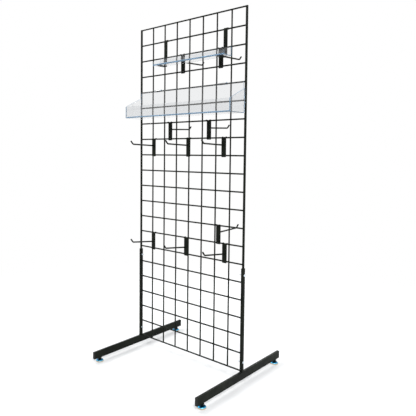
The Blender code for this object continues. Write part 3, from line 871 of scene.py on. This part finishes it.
def prong(drop, slope):
    """Round bar with a weld collar at the plate, a gentle rise, a bend and an eased tip."""
    deselect()
    root = Vector((0, -(WIRE_R + GAP + PLATE_T), -drop))
    rise = Vector((0, -math.cos(slope), math.sin(slope)))
    turn = (QUARTER_TURN - slope, 0, 0)
    bpy.ops.mesh.primitive_circle_add(
        vertices=16, radius=PRONG_R * PRONG_COLLAR, fill_type="NGON", location=root, rotation=turn
    )
    bpy.ops.object.transform_apply(location=True, rotation=True, scale=True)
    piece = bpy.context.object
    open_mesh(piece)
    end = root + PRONG_COLLAR_H * rise
    bpy.ops.mesh.extrude_region_move(TRANSFORM_OT_translate={"value": PRONG_COLLAR_H * rise})
    bpy.ops.transform.resize(value=(1 / PRONG_COLLAR,) * 3, center_override=end)
    run = (PRONG_STRAIGHT - PRONG_COLLAR_H) * rise
    bpy.ops.mesh.extrude_region_move(TRANSFORM_OT_translate={"value": run})
    end += run
    up = Vector((0, math.sin(slope), math.cos(slope)))
    bpy.ops.mesh.spin(
        steps=9, angle=PRONG_BEND, center=end + PRONG_BEND_R * up, axis=(1, 0, 0), use_auto_merge=False
    )
    tip_slope = slope + PRONG_BEND
    tip = PRONG_TIP * Vector((0, -math.cos(tip_slope), math.sin(tip_slope)))
    bpy.ops.mesh.extrude_region_move(TRANSFORM_OT_translate={"value": tip})
    bpy.ops.mesh.bevel(offset=PRONG_TIP_R, segments=4, profile=0.5, affect="EDGES")
    clean_mesh()
    return close_mesh()


# Clear bin and ledge


def paint_bend_light_line(sheet, front_y, floor_z):
    """Paints the lower front bend of a sheet with the edge material as a painted light line, since light
    gathers there as it does in the edges.
    """
    for face in sheet.data.polygons:
        if face.center.y < front_y + SHEET_BEND_R and face.center.z < floor_z + SHEET_BEND_R:
            face.material_index = 1


def bin_bent_sheet(materials):
    """Front, floor and back in one bent sheet that hangs by two lips."""
    half_t = SHEET_T / 2
    half_w = BIN_HALF_W - CHEEK_T - GAP
    back_y, floor_z, front_y = -SHEET_LIP_R, half_t - BIN_DROP, half_t - BIN_REACH
    fold = hanging_lip(SHEET_LIP_R)
    fold += bend((back_y, floor_z), SHEET_BEND_R, (0, -1), (-1, 0))
    fold += bend((front_y, floor_z), SHEET_BEND_R, (-1, 0), (0, 1))
    fold.append((front_y, BIN_FRONT_H - BIN_DROP))
    outer = half_w - BIN_LIP_X - BIN_LIP_W / 2
    inner = 2 * BIN_LIP_X - BIN_LIP_W
    widths = (outer, BIN_LIP_W, inner, BIN_LIP_W, outer)
    sheet = swept(upright_line(-half_w, fold), *((width, 0, 0) for width in widths))
    pick("FACE", lambda middle, normal: middle.z > 0 and abs(abs(middle.x) - BIN_LIP_X) > BIN_LIP_W / 2)
    bpy.ops.mesh.delete(type="FACE")
    pick("FACE", lambda middle, normal: middle.y > 0 and abs(abs(middle.x) - BIN_LIP_X) > BIN_LIP_W / 2)
    bpy.ops.mesh.delete(type="FACE")
    thickened(sheet, SHEET_T, *materials)
    soften(sheet, SHEET_EDGE)
    # The lower front bend gets a painted light line in the edge material.
    paint_bend_light_line(sheet, front_y, floor_z)
    return sheet


def bin_cheek(side, materials):
    """Flat end of the bin, low in front and high at the back."""
    x = side * (BIN_HALF_W - CHEEK_T / 2)
    back_y = SHEET_T / 2 - SHEET_LIP_R
    outline = [
        (-BIN_REACH, -BIN_DROP),
        (back_y, -BIN_DROP),
        (back_y, BIN_REAR_H - BIN_DROP),
        (-BIN_REACH, BIN_FRONT_H - BIN_DROP),
    ]
    cheek = line(upright_line(x, outline))
    bpy.ops.mesh.select_all(action="SELECT")
    bpy.ops.mesh.edge_face_add()
    bpy.ops.mesh.bevel(offset=CHEEK_CORNER_R, segments=4, affect="VERTICES")
    thickened(cheek, CHEEK_T, *materials)
    return soften(cheek, SHEET_EDGE)


def ledge_tray(materials):
    """Small shelf with a low front lip, bent from one sheet."""
    low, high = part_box("ledge_shelf")
    half_t = SHEET_T / 2
    back_y = -(WIRE_R + GAP + STRAP_T) - GAP - half_t
    floor_z, front_y = half_t - LEDGE_DROP, half_t - LEDGE_REACH
    fold = [(back_y, LEDGE_BACK_H - LEDGE_DROP)]
    fold += bend((back_y, floor_z), SHEET_BEND_R, (0, -1), (-1, 0))
    fold += bend((front_y, floor_z), SHEET_BEND_R, (-1, 0), (0, 1))
    fold.append((front_y, LEDGE_LIP_H - LEDGE_DROP))
    tray = swept(upright_line(low.x, fold), (high.x - low.x, 0, 0))
    thickened(tray, SHEET_T, *materials)
    soften(tray, SHEET_EDGE)
    # The lower front bend gets a painted light line in the edge material.
    paint_bend_light_line(tray, front_y, floor_z)
    return tray


def ledge_strap():
    """Bent steel strap: a lip over the wire, a back, and an arm with rounded corners under the shelf."""
    radius = WIRE_R + GAP + STRAP_T / 2
    arm_z = -LEDGE_DROP - GAP - STRAP_T / 2
    fold = hanging_lip(radius)
    fold += bend((-radius, arm_z), STRAP_BEND_R, (0, -1), (-1, 0))
    fold.append((-STRAP_REACH, arm_z))
    strap = swept(upright_line(-STRAP_W / 2, fold), (STRAP_W, 0, 0))
    pick("VERT", lambda point: abs(point.y + STRAP_REACH) < GAP)
    bpy.ops.mesh.bevel(offset=PLATE_CORNER_R, segments=5, affect="VERTICES")
    thickened(strap, STRAP_T)
    return soften(strap, STRAP_EDGE)


# Assembly


def dress_legs(steel, plastic, zinc):
    bolt = button_bolt()
    nut = hexagon_nut()
    for word, side in SIDES.items():
        base, upright = f"{word}_leg_base", f"{word}_leg_upright"
        hand_over(floor_tube(base), f"{word}_floor_tube", [steel], "stand", "black_powder_coat", base)
        post = channel_post(upright, side)
        hand_over(post, f"{word}_channel_post", [steel], "stand", "black_powder_coat", upright)
        hand_over(weld_bead(upright, side), f"{word}_weld_bead", [steel], "stand", "black_powder_coat")
        for place, end in ENDS.items():
            cap = f"{word}_{place}_end_cap"
            plug = tube_plug(cap, end)
            hand_over(plug, f"{word}_{place}_tube_plug", [plastic], "stand", "black_cap_plastic", cap)
        for place in ("lower", "upper"):
            turn = Matrix.Rotation(0 if side > 0 else math.pi, 4, "Z")
            node = f"{word}_{place}_clamp_bolt"
            low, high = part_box(node)
            seat_x = (high.x if side > 0 else low.x) - side * BOLT_HEAD_H
            middle_z = (low.z + high.z) / 2
            piece = copied(bolt, Matrix.Translation((seat_x, 0, middle_z)) @ turn)
            hand_over(piece, f"{word}_{place}_button_bolt", [zinc], "stand", "zinc_plate", node)
            node = f"{word}_{place}_clamp_nut"
            low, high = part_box(node)
            piece = copied(nut, Matrix.Translation((low + high) / 2))
            hand_over(piece, f"{word}_{place}_hexagon_nut", [zinc], "stand", "zinc_plate", node)
    bpy.data.objects.remove(bolt)
    bpy.data.objects.remove(nut)


def dress_feet(steel, chrome, nylon, zinc):
    kinds = (
        ("glide", glide(), [chrome, nylon], "bright_chrome", "_pad"),
        ("stem", levelling_screw(), [zinc], "zinc_plate", "_screw"),
        ("boss", threaded_boss(), [steel], "black_powder_coat", None),
    )
    for word in SIDES:
        for place in ENDS:
            foot = f"{word}_{place}_foot"
            axis = joint_place(foot + "_swivel")
            for kind, source, materials, slot, moving in kinds:
                body = foot + moving if moving else "stand"
                name = f"{word}_{place}_levelling_{kind}"
                hand_over(copied(source, axis), name, materials, body, slot, f"{foot}_{kind}")
    for kind in kinds:
        bpy.data.objects.remove(kind[1])


def dress_hooks(steel):
    plate, level, rising = hang_plate(), prong(*LEVEL_PRONG), prong(*RISING_PRONG)
    for joint in JOINTS:
        if "_hook_" not in joint:
            continue
        body = joint.removesuffix("_tilt")
        prefix, place = body.split("_hook_")
        turn = Matrix.Rotation(0 if prefix == "front" else math.pi, 4, "Z")
        at_wire = joint_place(joint) @ turn
        bar_hook = rising if body.startswith("front_hook_lower") else level
        hand_over(
            copied(plate, at_wire), f"{prefix}_hang_plate_{place}", [steel], body, "black_powder_coat",
            f"{prefix}_hook_plate_{place}",
        )
        hand_over(
            copied(bar_hook, at_wire), f"{prefix}_prong_{place}", [steel], body, "black_powder_coat",
            f"{prefix}_hook_prong_{place}",
        )
    for source in (plate, level, rising):
        bpy.data.objects.remove(source)


def dress_bin(materials):
    at_wire = joint_place("bin_tilt")
    sheet = bin_bent_sheet(materials)
    sheet.matrix_world = at_wire
    hand_over(sheet, "bin_bent_sheet", materials, "bin", "clear_acrylic", "bin_sheet")
    for word, side in SIDES.items():
        cheek = bin_cheek(side, materials)
        cheek.matrix_world = at_wire
        hand_over(cheek, f"bin_cheek_{word}", materials, "bin", "clear_acrylic", f"bin_end_{word}")


def dress_ledge(steel, materials):
    at_wire = joint_place("ledge_tilt")
    tray = ledge_tray(materials)
    tray.matrix_world = at_wire
    hand_over(tray, "ledge_tray", materials, "ledge", "clear_acrylic", "ledge_shelf")
    strap = ledge_strap()
    for word in SIDES:
        node = f"ledge_bracket_{word}"
        low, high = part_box(node)
        along = Matrix.Translation(((low.x + high.x) / 2, 0, 0))
        piece = copied(strap, at_wire @ along)
        hand_over(piece, f"ledge_strap_{word}", [steel], "ledge", "black_powder_coat", node)
    bpy.data.objects.remove(strap)


bpy.context.scene.view_settings.view_transform = "Standard"
photograph_camera()
studio()
white_floor()

coat = black_powder_coat()
zinc_finish = bright_zinc()
sheet_finish = [clear_acrylic(), sawn_acrylic_edge()]

hand_over(welded_grid(), "welded_wire_grid", [coat], "stand", "black_powder_coat", "grid_panel")
dress_legs(coat, black_cap_plastic(), zinc_finish)
dress_feet(coat, chrome_with_painted_reflection(), pale_nylon(), zinc_finish)
dress_hooks(coat)
dress_bin(sheet_finish)
dress_ledge(coat, sheet_finish)
